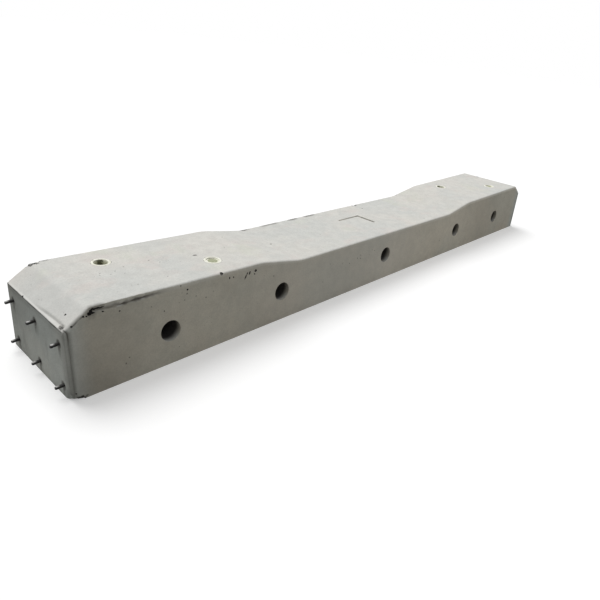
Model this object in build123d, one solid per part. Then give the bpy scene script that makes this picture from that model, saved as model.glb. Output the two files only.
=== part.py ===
from build123d import *
import os

# Prestressed concrete sleeper for railway track, in millimetres.
# X runs along the sleeper, Y across it and Z up. The origin is the middle of the underside,
# so the sleeper lies on the plane z = 0. The end at -X is called left, the side at -Y front.

# Concrete: length, section and heights of the top
length = 2100.0
base_width = 276.0
side_taper = 0.05                # each side leans in by this much for each unit of height
end_height = 157.0
middle_height = 156.0
seat_height = 186.0              # at the middle of a rail seat
seat_cant = 1 / 40               # the seats slope down towards the middle of the track

# Concrete: lengths along the sleeper
seat_spacing = 1524.0            # from one rail's middle to the other's
seat_inner_length = 214.0        # from a seat's middle to the top of its ramp
ramp_length = 143.0
end_slope_length = 52.0

# Concrete: edges
shoulder_radius = 20.0
ramp_top_radius = 200.0
ramp_foot_radius = 200.0
arris_radius = 6.0               # along both sides of the top
end_edge_radius = 4.0            # round the sides and top of the end faces

# Holes across the sleeper, for the slab's reinforcement
cross_hole_diameter = 50.0
cross_hole_height = 82.0
seat_hole_offset = 58.0          # outwards from the middle of the rail seat

# Sunk panel in the middle of the top
panel_length = 106.0
panel_width = 76.0
panel_depth = 2.5
panel_corner_radius = 3.0

# Prestressing wires, in two rows
wire_diameter = 7.0
wire_pitch = 107.0
lower_wire_height = 26.0
upper_wire_height = 122.0
wire_stub = 17.0                 # stands out of each end face

# Plastic screw dowels, two at each seat, set on its diagonal
dowel_pitch_along = 226.0
dowel_pitch_across = 112.0
dowel_length = 130.0
dowel_diameter = 38.0
dowel_foot_diameter = 32.0
dowel_foot_length = 12.0
collar_diameter = 44.0
collar_thickness = 4.0
screw_bore_diameter = 30.0
dowel_floor = 6.0                # closed end under the bore

# Dust caps, pushed into two of the dowels
cap_inset = 2.0                  # below the top of the collar
cap_disc = 3.0
cap_skirt_length = 8.0
cap_skirt_wall = 2.0

# Places worked out from the sizes above
half_length = length / 2
seat_x = seat_spacing / 2
ramp_top_x = seat_x - seat_inner_length
ramp_foot_x = ramp_top_x - ramp_length
shoulder_x = half_length - end_slope_length


def seat_top(x):
    """Height of the rail seat's plane above the underside, at x from mid-length."""
    return seat_height + (abs(x) - seat_x) * seat_cant


def at_corner(x, z):
    """Picks the outline's corners at x from mid-length, on both sides, and height z."""
    return lambda v: abs(abs(v.X) - x) < 0.01 and abs(v.Z - z) < 0.01


def side_view():
    """Outline of the sleeper seen from its side, with its bends rounded."""
    half_top = [
        (ramp_foot_x, middle_height),
        (ramp_top_x, seat_top(ramp_top_x)),
        (shoulder_x, seat_top(shoulder_x)),
        (half_length, end_height),
        (half_length, 0),
    ]
    other_half = [(-x, z) for x, z in reversed(half_top)]
    outline = make_face(Plane.XZ * Polyline(*other_half, *half_top, close=True))
    for corner, radius in zip(half_top, (ramp_foot_radius, ramp_top_radius, shoulder_radius)):
        outline = fillet(outline.vertices().filter_by(at_corner(*corner)), radius)
    return outline


def cross_section():
    """Section across the sleeper, taller than any part of it."""
    top = 2 * seat_height
    half_base = base_width / 2
    half_top = half_base - side_taper * top
    return make_face(
        Plane.YZ * Polyline((-half_base, 0), (half_base, 0), (half_top, top), (-half_top, top), close=True)
    )


def blank():
    """The cast block before its holes: side view and section cut each other."""
    block = extrude(side_view(), base_width / 2, both=True) & extrude(cross_section(), length / 2, both=True)
    low = min(end_height, middle_height) / 2
    top_sides = block.edges().filter_by(
        lambda e: e.center().Z > low and abs(e.tangent_at(0.5).X) > 0.7 and abs(e.center().Y) > base_width / 4
    )
    block = fillet(top_sides, arris_radius)
    upright = block.edges().filter_by(GeomType.LINE).filter_by(lambda e: abs(e.tangent_at(0.5).Z) > 0.9)
    return fillet(upright, end_edge_radius)


def cross_hole_places():
    """Distances from mid-length: the middle, half way up each ramp and under each seat."""
    ramp_middle_x = (ramp_top_x + ramp_foot_x) / 2
    seat_hole_x = seat_x + seat_hole_offset
    return [-seat_hole_x, -ramp_middle_x, 0, ramp_middle_x, seat_hole_x]


def cross_hole(x):
    return Pos(x, 0, cross_hole_height) * Rot(90, 0, 0) * Cylinder(cross_hole_diameter / 2, 2 * base_width)


def panel_recess():
    sunk = extrude(RectangleRounded(panel_length, panel_width, panel_corner_radius), panel_depth + 1)
    return Pos(0, 0, middle_height - panel_depth) * sunk


def wires():
    """Six straight wires, named by row and by place across the sleeper."""
    rows = {"lower": lower_wire_height, "upper": upper_wire_height}
    columns = {"front": -wire_pitch, "middle": 0, "back": wire_pitch}
    wire = Rot(0, 90, 0) * Cylinder(wire_diameter / 2, length + 2 * wire_stub)
    return {f"wire_{row}_{place}": Pos(0, y, z) * wire for row, z in rows.items() for place, y in columns.items()}


def dowel_places():
    """Where each dowel's mouth lies on its rail seat, square to the seat's surface."""
    cant_angle = Vector(1, 0, seat_cant).get_angle(Vector(1, 0, 0))
    places = {}
    for side, sign in (("left", -1), ("right", 1)):
        for name, along, across in (("inner", -1, 1), ("outer", 1, -1)):
            x = sign * (seat_x + along * dowel_pitch_along / 2)
            y = sign * across * dowel_pitch_across / 2
            places[f"{side}_{name}"] = Pos(x, y, seat_top(x)) * Rot(0, -sign * cant_angle, 0)
    return places


def dowel_body():
    """Outside of a dowel, mouth up at the origin: collar, barrel and tapered foot."""
    foot_top = -(dowel_length - dowel_foot_length)
    half_profile = make_face(
        Plane.XZ
        * Polyline(
            (0, 0),
            (collar_diameter / 2, 0),
            (collar_diameter / 2, -collar_thickness),
            (dowel_diameter / 2, -collar_thickness),
            (dowel_diameter / 2, foot_top),
            (dowel_foot_diameter / 2, -dowel_length),
            (0, -dowel_length),
            close=True,
        )
    )
    return revolve(half_profile, Axis.Z)


def screw_bore():
    depth = dowel_length - dowel_floor
    return Pos(0, 0, -depth / 2) * Cylinder(screw_bore_diameter / 2, depth)


def dust_cap():
    """Cap for a dowel's mouth: a disc with a skirt that fits the bore."""
    height = cap_disc + cap_skirt_length
    plug = Cylinder(screw_bore_diameter / 2, height, align=(Align.CENTER, Align.CENTER, Align.MAX))
    hollow = Cylinder(
        screw_bore_diameter / 2 - cap_skirt_wall, cap_skirt_length, align=(Align.CENTER, Align.CENTER, Align.MAX)
    )
    return Pos(0, 0, -cap_inset) * (plug - Pos(0, 0, -cap_disc) * hollow)


dowels = dowel_places()
pieces = wires()
concrete = blank() - panel_recess()
for x in cross_hole_places():
    concrete -= cross_hole(x)
for wire in wires().values():
    concrete -= wire
for name, place in dowels.items():
    concrete -= place * dowel_body()
    pieces[f"dowel_{name}"] = place * (dowel_body() - screw_bore())
pieces["concrete_body"] = concrete
pieces["dust_cap_left"] = dowels["left_inner"] * dust_cap()
pieces["dust_cap_right"] = dowels["right_outer"] * dust_cap()

os.makedirs("parts", exist_ok=True)
for name, piece in pieces.items():
    export_step(piece, f"parts/{name}.step")
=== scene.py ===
import math
import random

import bpy
import numpy as np
from mathutils import Matrix, Vector, noise


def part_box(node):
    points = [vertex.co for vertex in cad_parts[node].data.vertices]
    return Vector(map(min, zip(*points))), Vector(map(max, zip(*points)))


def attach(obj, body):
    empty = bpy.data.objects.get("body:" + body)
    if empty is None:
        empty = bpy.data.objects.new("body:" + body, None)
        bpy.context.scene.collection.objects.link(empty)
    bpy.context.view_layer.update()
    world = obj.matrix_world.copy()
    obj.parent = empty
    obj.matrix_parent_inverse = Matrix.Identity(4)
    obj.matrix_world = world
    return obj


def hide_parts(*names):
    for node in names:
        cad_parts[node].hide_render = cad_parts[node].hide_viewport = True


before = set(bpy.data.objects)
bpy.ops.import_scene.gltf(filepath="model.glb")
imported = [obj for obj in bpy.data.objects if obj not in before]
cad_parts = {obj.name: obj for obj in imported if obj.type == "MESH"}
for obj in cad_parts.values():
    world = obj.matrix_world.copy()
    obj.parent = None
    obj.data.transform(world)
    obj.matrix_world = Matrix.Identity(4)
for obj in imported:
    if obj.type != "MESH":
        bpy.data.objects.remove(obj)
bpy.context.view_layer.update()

# Camera, fitted to the photograph's edges: place in metres, angles in degrees
CAMERA_PLACE = Vector((-1.3804, -0.9694, 0.6814))
CAMERA_YAW = 40.440              # from +X towards +Y
CAMERA_PITCH = 26.690            # downwards
CAMERA_ROLL = 6.783
CAMERA_LENS = 31.090             # on a sensor 36 mm wide

# Concrete, in metres: the outline's corners from mid-length outwards, and its edges
LOW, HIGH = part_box("concrete_body")
HALF_LENGTH = HIGH.x
HALF_BASE = HIGH.y
SIDE_TAPER = 0.05
SEAT_X = 0.762
SEAT_HEIGHT = 0.186
SEAT_CANT = 1 / 40
RAMP_FOOT_X = 0.405
RAMP_TOP_X = 0.548
SHOULDER_X = HALF_LENGTH - 0.052
MIDDLE_HEIGHT = 0.156
END_HEIGHT = 0.157
ARRIS = 0.006
END_EDGE = 0.004
TOP_EDGE = 0.001                 # the flash leaves the ends' top edges nearly sharp

# Holes, dowels and wires, as in the CAD model
CROSS_HOLE_RADIUS = 0.025
CROSS_HOLE_HEIGHT = 0.082
CROSS_HOLES = (-0.820, -0.4765, 0.0, 0.4765, 0.820)
PANEL_SIZE = (0.106, 0.076)
PANEL_DEPTH = 0.0025
DOWEL_ALONG = 0.113
DOWEL_ACROSS = 0.056
DOWEL_LENGTH = 0.130
COLLAR_RADIUS = 0.022
BARREL_RADIUS = 0.019
FOOT_RADIUS = 0.016
BORE_RADIUS = 0.015
WIRE_RADIUS = 0.0035
WIRE_ROWS = (0.026, 0.122)
WIRE_COLUMNS = (-0.107, 0.0, 0.107)
WIRE_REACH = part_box("wire_upper_middle")[1].x

random.seed(7)


def make_camera():
    yaw, pitch, roll = (math.radians(a) for a in (CAMERA_YAW, CAMERA_PITCH, CAMERA_ROLL))
    ahead = Vector((math.cos(yaw) * math.cos(pitch), math.sin(yaw) * math.cos(pitch), -math.sin(pitch)))
    level = Vector((math.sin(yaw), -math.cos(yaw), 0))
    upward = level.cross(ahead)
    right = level * math.cos(roll) + upward * math.sin(roll)
    up = upward * math.cos(roll) - level * math.sin(roll)
    data = bpy.data.cameras.new("camera")
    data.lens = CAMERA_LENS
    data.clip_start = 0.01
    camera = bpy.data.objects.new("camera", data)
    bpy.context.collection.objects.link(camera)
    turn = Matrix((right, up, -ahead)).transposed().to_4x4()
    camera.matrix_world = Matrix.Translation(CAMERA_PLACE) @ turn
    bpy.context.scene.camera = camera


make_camera()


class Finish:
    """A procedural material: nodes are added and linked by small calls."""

    def __init__(self, name):
        self.material = bpy.data.materials.new(name)
        self.material.use_nodes = True
        self.tree = self.material.node_tree
        self.shader = self.tree.nodes["Principled BSDF"]
        self.place = self.add("ShaderNodeTexCoord").outputs["Object"]

    def add(self, kind, **settings):
        node = self.tree.nodes.new(kind)
        for key, value in settings.items():
            setattr(node, key, value)
        return node

    def feed(self, socket, value):
        if isinstance(value, bpy.types.NodeSocket):
            self.tree.links.new(value, socket)
        elif isinstance(value, tuple) and len(value) == 3 and socket.type == "RGBA":
            socket.default_value = (*value, 1)
        else:
            socket.default_value = value

    def noise(self, scale, detail=3.0, roughness=0.5, stretch=None):
        node = self.add("ShaderNodeTexNoise")
        place = self.place
        if stretch:
            mapping = self.add("ShaderNodeMapping")
            self.feed(mapping.inputs["Vector"], place)
            self.feed(mapping.inputs["Scale"], stretch)
            place = mapping.outputs["Vector"]
        self.feed(node.inputs["Vector"], place)
        self.feed(node.inputs["Scale"], scale)
        self.feed(node.inputs["Detail"], detail)
        self.feed(node.inputs["Roughness"], roughness)
        return node.outputs["Fac"]

    def cells(self, scale, randomness=1.0):
        node = self.add("ShaderNodeTexVoronoi")
        self.feed(node.inputs["Vector"], self.place)
        self.feed(node.inputs["Scale"], scale)
        self.feed(node.inputs["Randomness"], randomness)
        return node.outputs["Distance"], node.outputs["Color"]

    def span(self, value, low, high, to_low=0.0, to_high=1.0):
        """Maps a value from one range to another, smoothly and clamped."""
        node = self.add("ShaderNodeMapRange", interpolation_type="SMOOTHSTEP")
        for name, given in zip(("Value", "From Min", "From Max", "To Min", "To Max"), (value, low, high, to_low, to_high)):
            self.feed(node.inputs[name], given)
        return node.outputs["Result"]

    def calc(self, operation, *values):
        node = self.add("ShaderNodeMath", operation=operation)
        for socket, value in zip(node.inputs, values):
            self.feed(socket, value)
        return node.outputs[0]

    def mix(self, share, first, second, blend="MIX"):
        node = self.add("ShaderNodeMix", data_type="RGBA", blend_type=blend)
        self.feed(node.inputs[0], share)
        self.feed(node.inputs[6], first)
        self.feed(node.inputs[7], second)
        return node.outputs[2]

    def attribute(self, name):
        return self.add("ShaderNodeAttribute", attribute_name=name).outputs["Fac"]

    def split(self, vector):
        node = self.add("ShaderNodeSeparateXYZ")
        self.feed(node.inputs[0], vector)
        return [node.outputs[axis] for axis in "XYZ"]

    def normal(self):
        return self.split(self.add("ShaderNodeNewGeometry").outputs["Normal"])

    def bump(self, height, distance, strength=1.0, after=None):
        node = self.add("ShaderNodeBump")
        self.feed(node.inputs["Height"], height)
        self.feed(node.inputs["Distance"], distance)
        self.feed(node.inputs["Strength"], strength)
        if after:
            self.feed(node.inputs["Normal"], after)
        return node.outputs["Normal"]

    def set(self, **inputs):
        names = {"color": "Base Color", "roughness": "Roughness", "metallic": "Metallic", "normal": "Normal",
                 "specular": "Specular IOR Level"}
        for key, value in inputs.items():
            self.feed(self.shader.inputs[names[key]], value)
        return self.material


def wire_rust_and_shade(f):
    """Dark rings and thin streaks straight down from the wires, on the end faces only: partly rust, partly a painted
    shadow of the stubs.
    """
    _, y, z = f.split(f.place)
    across = f.calc("ABSOLUTE", y)
    column = f.calc("MINIMUM", across, f.calc("ABSOLUTE", f.calc("SUBTRACT", across, WIRE_COLUMNS[2])))
    ragged = f.noise(140.0, 3.0, 0.6)
    side = f.calc("ADD", column, f.span(f.noise(60.0, 2.0), 0.3, 0.7, -0.0015, 0.0015))
    total = None
    for row in WIRE_ROWS:
        below = f.calc("SUBTRACT", row, z)
        ring = f.calc("SQRT", f.calc("ADD", f.calc("POWER", column, 2.0), f.calc("POWER", below, 2.0)))
        halo = f.span(f.calc("ADD", ring, f.calc("MULTIPLY", ragged, 0.005)), 0.0075, 0.0150, 0.95, 0.0)
        thin = f.span(side, 0.0022, 0.0075, 1.0, 0.0)
        fall = f.calc("MULTIPLY", f.span(below, 0.0, 0.004), f.span(below, 0.008, 0.040, 0.72, 0.0))
        dirt_and_shade = f.calc("MAXIMUM", halo, f.calc("MULTIPLY", thin, fall))
        total = f.calc("MAXIMUM", total, dirt_and_shade) if total else dirt_and_shade
    return f.calc("MULTIPLY", total, f.span(ragged, 0.3, 0.6, 0.65, 1.0))


def panel_shade(f):
    """Painted shade along two of the sunk panel's walls and the floor beside them."""
    x, y, _ = f.split(f.place)
    beyond_x = f.calc("SUBTRACT", x, PANEL_SIZE[0] / 2)
    beyond_y = f.calc("SUBTRACT", y, PANEL_SIZE[1] / 2)
    edge = f.calc("ABSOLUTE", f.calc("MAXIMUM", beyond_x, beyond_y))
    right_of_left = f.calc("GREATER_THAN", x, -PANEL_SIZE[0] / 2)
    behind_front = f.calc("GREATER_THAN", y, -PANEL_SIZE[1] / 2)
    inside = f.calc("MULTIPLY", right_of_left, behind_front)
    strength = f.span(f.noise(60.0, 2.0), 0.35, 0.65, 0.35, 0.75)
    strength = f.calc("MULTIPLY", strength, f.span(x, 0.036, 0.052, 0.45, 1.0))
    return f.calc("MULTIPLY", f.calc("MULTIPLY", inside, strength), f.span(edge, 0.0008, 0.0032, 1.0, 0.0))


def dark_spots(f):
    """Small ragged dirt spots at the places in DARK_SPOTS."""
    ragged = f.span(f.noise(170.0, 3.0, 0.6), 0.25, 0.75, -0.45, 0.45)
    total = None
    for place, size, strength in DARK_SPOTS:
        away = f.add("ShaderNodeVectorMath", operation="SUBTRACT")
        f.feed(away.inputs[0], f.place)
        f.feed(away.inputs[1], place)
        scaled = f.add("ShaderNodeVectorMath", operation="DIVIDE")
        f.feed(scaled.inputs[0], away.outputs[0])
        f.feed(scaled.inputs[1], size)
        length = f.add("ShaderNodeVectorMath", operation="LENGTH")
        f.feed(length.inputs[0], scaled.outputs[0])
        spot = f.span(f.calc("ADD", length.outputs["Value"], ragged), 0.55, 1.15, strength, 0.0)
        total = f.calc("MAXIMUM", total, spot) if total else spot
    return total


def concrete_finish(name, recess_shade=0.0, hollow=False):
    """Pale cast concrete: mottled, with fine pinholes; upright faces darker, partly their own tone and partly painted
    shade; darker still where dirt or painted shade is laid on, and painted shade darkens the linings of pits and holes.
    """
    f = Finish(name)
    patches = f.span(f.noise(4.5, 4.0, 0.55), 0.36, 0.64)
    warm_spots = f.span(f.noise(11.0, 3.0, 0.6, (1.0, 1.4, 1.0)), 0.5, 0.7)
    top = f.mix(patches, (0.645, 0.65, 0.62), (0.70, 0.685, 0.64))
    top = f.mix(f.calc("MULTIPLY", warm_spots, 0.6), top, (0.70, 0.65, 0.61))
    green_spots = f.span(f.noise(8.3, 3.0, 0.6, (1.3, 1.0, 1.0)), 0.55, 0.72)
    top = f.mix(f.calc("MULTIPLY", green_spots, 0.5), top, (0.655, 0.67, 0.585))
    side = f.mix(patches, (0.555, 0.535, 0.452), (0.60, 0.56, 0.465))
    end = f.mix(patches, (0.585, 0.62, 0.58), (0.63, 0.645, 0.59))
    along, _, upward = f.normal()
    reach = f.calc("ABSOLUTE", f.split(f.place)[0])
    color = f.mix(f.span(reach, HALF_LENGTH - 0.060, HALF_LENGTH - 0.004), side, end)
    # Top lighter than the upright faces: partly the concrete's own tone, partly painted light and shade.
    color = f.mix(f.span(upward, 0.25, 0.8), color, top)
    grain = f.span(f.noise(260.0, 2.0, 0.7), 0.25, 0.75, 0.93, 1.06)
    cloud = f.span(f.noise(38.0, 3.0, 0.6), 0.3, 0.7, 0.95, 1.04)
    shade = f.calc("MULTIPLY", grain, cloud)
    broad = f.noise(3.4, 2.0, 0.6, (1.0, 0.3, 0.6))
    on_side = f.span(upward, 0.2, 0.6, 1.0, 0.0)
    shade = f.calc("MULTIPLY", shade, f.calc("ADD", 1.0, f.calc("MULTIPLY", on_side, f.span(broad, 0.3, 0.7, -0.06, 0.06))))
    distance, tint = f.cells(150.0)
    sparse = f.span(f.noise(7.0, 2.0), 0.5, 0.62)
    chosen = f.calc("GREATER_THAN", f.calc("MULTIPLY", tint, sparse), 0.80)
    pinhole = f.calc("MULTIPLY", chosen, f.span(distance, 0.12, 0.26, 1.0, 0.0))
    shade = f.calc("MULTIPLY", shade, f.span(pinhole, 0.0, 1.0, 1.0, 0.80))
    color = f.mix(1.0, color, shade, "MULTIPLY")
    color = f.mix(f.attribute("pale"), color, PALE_COLOR)
    # Dirt and painted shade, from the point attribute.
    color = f.mix(f.attribute("dirt_and_shade"), color, DIRT_AND_SHADE_COLOR)
    if hollow:
        # The cross holes' lining darkens with depth: painted shade inside the holes.
        _, across, _ = f.split(f.place)
        depth = f.span(f.calc("ABSOLUTE", across), HALF_BASE - 0.024, HALF_BASE - 0.003, 1.0, 0.0)
        color = f.mix(f.calc("MULTIPLY", depth, 0.95), color, (0.02, 0.018, 0.016))
    # Linings of pits, pockets, gaps and the gash: darkened with painted shade, with some dirt.
    elif recess_shade:
        color = f.mix(recess_shade, color, (0.02, 0.018, 0.016))
    else:
        on_end = f.span(f.calc("ABSOLUTE", along), 0.75, 0.9)
        streaks = f.span(f.noise(1.0, 3.0, 0.6, (1.0, 36.0, 13.0)), 0.52, 0.74, 0.0, 0.18)
        color = f.mix(f.calc("MULTIPLY", on_end, f.calc("MAXIMUM", wire_rust_and_shade(f), streaks)), color, DIRT_AND_SHADE_COLOR)
        color = f.mix(panel_shade(f), color, DIRT_AND_SHADE_COLOR)
        color = f.mix(dark_spots(f), color, (0.03, 0.028, 0.024))
    height = f.calc("ADD", f.noise(420.0, 3.0, 0.7), f.calc("MULTIPLY", f.noise(90.0, 3.0), 1.5))
    height = f.calc("SUBTRACT", height, f.calc("MULTIPLY", pinhole, 3.0))
    normal = f.bump(height, 0.0004, 0.6)
    return f.set(color=color, roughness=f.span(f.noise(30.0), 0.3, 0.7, 0.82, 0.95), specular=0.3, normal=normal)


def plastic_finish(name, pale, dirty, roughness=0.45):
    f = Finish(name)
    dirt = f.span(f.noise(160.0, 4.0, 0.65), 0.42, 0.68)
    color = f.mix(dirt, pale, dirty)
    normal = f.bump(f.noise(500.0, 2.0), 0.00015, 0.6)
    return f.set(color=color, roughness=f.span(dirt, 0, 1, roughness, roughness + 0.35), specular=0.4, normal=normal)


def bore_finish():
    """Inside of an open dowel: pale on the side of the bore that faces the light and dark on the other, painted light
    and shade.
    """
    f = Finish("bore_plastic")
    along, across, _ = f.normal()
    toward = f.calc("ADD", f.calc("MULTIPLY", along, -0.65), f.calc("MULTIPLY", across, 0.76))
    ragged = f.calc("MULTIPLY", f.calc("SUBTRACT", f.noise(180.0, 3.0, 0.6), 0.5), 0.9)
    other = f.span(f.calc("ADD", toward, f.calc("MULTIPLY", ragged, 0.3)), -0.98, -0.66, 0.6, 0.0)
    # worn marks the wall that faces the light: painted light there, painted shade on the rest.
    worn = f.calc("MAXIMUM", f.span(f.calc("ADD", toward, ragged), -0.40, 0.25), other)
    color = f.mix(worn, (0.11, 0.112, 0.068), (0.93, 0.93, 0.77))
    normal = f.bump(f.noise(500.0, 2.0), 0.00015, 0.6)
    return f.set(color=color, roughness=f.span(worn, 0, 1, 0.8, 0.5), specular=0.4, normal=normal)


def wire_finish():
    """Drawn steel: dull pale grey where it faces up and dark below, which is painted light and shade; dark at the root,
    painted shade with some dirt, and on the cut tip.
    """
    f = Finish("wire_steel")
    rust = f.span(f.noise(240.0, 4.0, 0.7), 0.5, 0.66)
    pale = f.mix(rust, (0.62, 0.62, 0.61), (0.34, 0.31, 0.28))
    along, _, upward = f.normal()
    # Painted light and shade: pale where the wire faces up, near black below.
    lit = f.span(f.calc("ADD", upward, f.calc("MULTIPLY", f.noise(420.0), 0.24)), 0.62, 1.02)
    color = f.mix(lit, (0.012, 0.012, 0.012), pale)
    reach = f.calc("SUBTRACT", WIRE_REACH, f.calc("ABSOLUTE", f.split(f.place)[0]))
    # Painted shade, with some dirt, where the wire leaves the concrete.
    root = f.span(reach, WIRE_REACH - HALF_LENGTH - 0.0125, WIRE_REACH - HALF_LENGTH - 0.006)
    color = f.mix(f.calc("MULTIPLY", root, 0.92), color, (0.016, 0.015, 0.014))
    color = f.mix(f.span(f.calc("ABSOLUTE", along), 0.45, 0.75), color, (0.012, 0.012, 0.012))
    normal = f.bump(f.noise(900.0, 3.0), 0.0002, 0.8)
    return f.set(color=color, roughness=f.span(rust, 0, 1, 0.55, 0.85), specular=0.3, normal=normal)


# Dark colour used alike for dirt and for painted shade.
DIRT_AND_SHADE_COLOR = (0.10, 0.092, 0.078)
PALE_COLOR = (0.86, 0.85, 0.815)
# Dirt spots that the photograph shows: place, half-sizes and strength
DARK_SPOTS = (
    ((-0.996, 0.1225, 0.1915), (0.0125, 0.0125, 0.0100), 1.00),
    ((-0.972, 0.1240, 0.1915), (0.0180, 0.0060, 0.0060), 0.50),
    ((-0.667, -0.0100, 0.1836), (0.0065, 0.0035, 0.0040), 0.80),
    ((-0.392, 0.1260, 0.1560), (0.0150, 0.0070, 0.0060), 0.75),
    ((-0.520, 0.1260, 0.1790), (0.0130, 0.0045, 0.0060), 0.50),
    ((0.144, 0.1240, 0.1560), (0.0140, 0.0080, 0.0060), 0.90),
    ((-1.031, -0.1380, 0.0020), (0.0150, 0.0120, 0.0065), 1.00),
    ((0.991, 0.0550, 0.1915), (0.0080, 0.0060, 0.0080), 0.85),
)
CONCRETE = concrete_finish("concrete")
# Linings of pits, collar gaps and the gash, darkened with painted shade.
PIT_CONCRETE = concrete_finish("concrete_in_pits", recess_shade=0.5)
DEEP_PIT_CONCRETE = concrete_finish("concrete_in_deep_pits", recess_shade=0.85)
GASH_CONCRETE = concrete_finish("concrete_in_gash", recess_shade=0.97)
HOLE_CONCRETE = concrete_finish("concrete_in_holes", hollow=True)
DOWEL_PLASTIC = plastic_finish("dowel_plastic", (0.96, 0.955, 0.85), (0.76, 0.75, 0.62))
BORE_PLASTIC = bore_finish()
CAP_PLASTIC = plastic_finish("cap_plastic", (0.39, 0.405, 0.26), (0.31, 0.33, 0.21), 0.5)
WIRE_STEEL = wire_finish()


def new_piece(name, vertices, faces, materials, smooth=True, sharp_angle=40):
    mesh = bpy.data.meshes.new(name)
    mesh.from_pydata([tuple(v) for v in vertices], [], [tuple(face) for face in faces])
    mesh.validate()
    mesh.update()
    piece = bpy.data.objects.new(name, mesh)
    bpy.context.collection.objects.link(piece)
    for material in materials:
        mesh.materials.append(material)
    mesh.polygons.foreach_set("use_smooth", [smooth] * len(mesh.polygons))
    mesh.set_sharp_from_angle(angle=math.radians(sharp_angle))
    return piece


def merge(patches):
    """Joins grids of points into one mesh, sharing the points that they have in common."""
    points = np.concatenate([p.reshape(-1, 3) for p, _ in patches])
    _, first, same = np.unique(np.round(points, 7), axis=0, return_index=True, return_inverse=True)
    same = same.ravel()
    faces = []
    start = 0
    for patch, flip in patches:
        rows, columns = patch.shape[:2]
        ids = same[start : start + rows * columns].reshape(rows, columns)
        start += rows * columns
        quads = np.stack([ids[:-1, :-1], ids[1:, :-1], ids[1:, 1:], ids[:-1, 1:]], -1).reshape(-1, 4)
        faces.append(quads[:, ::-1] if flip else quads)
    return points[first], np.concatenate(faces)


def top_height(x):
    """Height of the concrete's top at x, with the bends of its outline rounded."""
    corner_x = (0, RAMP_FOOT_X, RAMP_TOP_X, SHOULDER_X, HALF_LENGTH)
    seat = [SEAT_HEIGHT + (c - SEAT_X) * SEAT_CANT for c in (RAMP_TOP_X, SHOULDER_X)]
    corner_z = (MIDDLE_HEIGHT, MIDDLE_HEIGHT, *seat, END_HEIGHT)
    slopes = np.diff(corner_z) / np.diff(corner_x)
    x = np.abs(np.atleast_1d(np.asarray(x, float)))
    z = np.interp(x, corner_x, corner_z)
    for i, reach in ((1, 0.017), (2, 0.0145), (3, 0.0060)):
        d = x - corner_x[i]
        bend = corner_z[i] + (slopes[i - 1] + slopes[i]) / 2 * d
        bend += (slopes[i] - slopes[i - 1]) / (4 * reach) * (d * d + reach * reach)
        z = np.where(np.abs(d) < reach, bend, z)
    return z


# Spacing of the concrete's grid of points: along it from the left end, and on its section
ALONG_STEPS = ((0.014, 0.0010), (0.21, 0.0022), (2 * HALF_LENGTH - 0.014, 0.0075), (2 * HALF_LENGTH, 0.0010))
TOP_COLUMNS = 44
ARC_STEPS = 4
SIDE_ROWS = 18
NEAR_ARRIS = 0.014
NEAR_ARRIS_ROWS = 12


def half_section(height, inset, top_inset):
    """Half of the section's outline, up its side and over its arris, moved in at the side and lowered at the top."""
    tilt = math.atan(SIDE_TAPER)
    centre_z = height - ARRIS
    centre_y = HALF_BASE - SIDE_TAPER * centre_z - ARRIS / math.cos(tilt)
    angles = np.linspace(math.pi / 2 - tilt, 0, 2 * ARC_STEPS + 1)
    arc_y = centre_y + (ARRIS - inset) * np.sin(angles)
    arc = np.stack([arc_y, centre_z + (ARRIS - top_inset) * np.cos(angles)], -1)
    foot = np.array([HALF_BASE - inset, 0.0])
    knee = 1 - NEAR_ARRIS / arc[0, 1]
    share = np.concatenate([np.linspace(0, knee, SIDE_ROWS + 1)[:-1], np.linspace(knee, 1, NEAR_ARRIS_ROWS + 1)[:-1]])
    side = foot + (arc[0] - foot) * share[:, None]
    side = np.concatenate([side, arc[: ARC_STEPS + 1]])
    flat = np.linspace(1, -1, TOP_COLUMNS + 1)[1:-1, None] * [arc[-1, 0], 0] + [0, arc[-1, 1]]
    over = np.concatenate([arc[ARC_STEPS:], flat, (arc[ARC_STEPS:] * [-1, 1])[::-1]])
    return side, over


def stations():
    """Places along the sleeper, finer near its ends, each with its inset at the end edges."""
    inner = HALF_LENGTH - END_EDGE
    flat, start = [-inner], -inner
    for reach, step in ALONG_STEPS:
        stop = min(reach - HALF_LENGTH, inner)
        flat += list(np.linspace(start, stop, round((stop - start) / step) + 1)[1:])
        start = stop
    angles = np.radians([30, 60, 90])
    edge_x = inner + END_EDGE * np.sin(angles)
    edge_inset = END_EDGE * (1 - np.cos(angles))
    places = np.concatenate([-edge_x[::-1], flat, edge_x])
    insets = np.concatenate([edge_inset[::-1], np.zeros(len(flat)), edge_inset])
    return places, insets


def end_face(left, right, top, bottom):
    """Grid of points inside an end's outline: rows up, columns across."""
    u = np.linspace(0, 1, len(top))[None, :, None]
    v = (left[:, 2] / left[-1, 2])[:, None, None]
    corners = (1 - u) * (1 - v) * left[0] + u * (1 - v) * right[0] + (1 - u) * v * left[-1] + u * v * right[-1]
    return (1 - v) * bottom[None] + v * top[None] + (1 - u) * left[:, None] + u * right[:, None] - corners


def concrete_grid():
    places, insets = stations()
    heights = top_height(places)
    front, back, top, bottom = [], [], [], []
    for x, inset, height in zip(places, insets, heights):
        side, over = half_section(height, inset, TOP_EDGE if abs(x) > HALF_LENGTH - 1e-6 else 0.0)
        column = lambda yz: np.column_stack([np.full(len(yz), x), yz])
        back.append(column(side))
        front.append(column(side * [-1, 1]))
        top.append(column(over))
        across = over[:, 0] / over[0, 0] * side[0, 0]
        bottom.append(column(np.stack([across, np.zeros(len(across))], -1)))
    front, back, top, bottom = (np.array(p) for p in (front, back, top, bottom))
    ends = [end_face(back[i], front[i], top[i], bottom[i]) for i in (0, -1)]
    return merge([(top, True), (bottom, False), (front, False), (back, True), (ends[0], True), (ends[1], False)])


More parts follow.
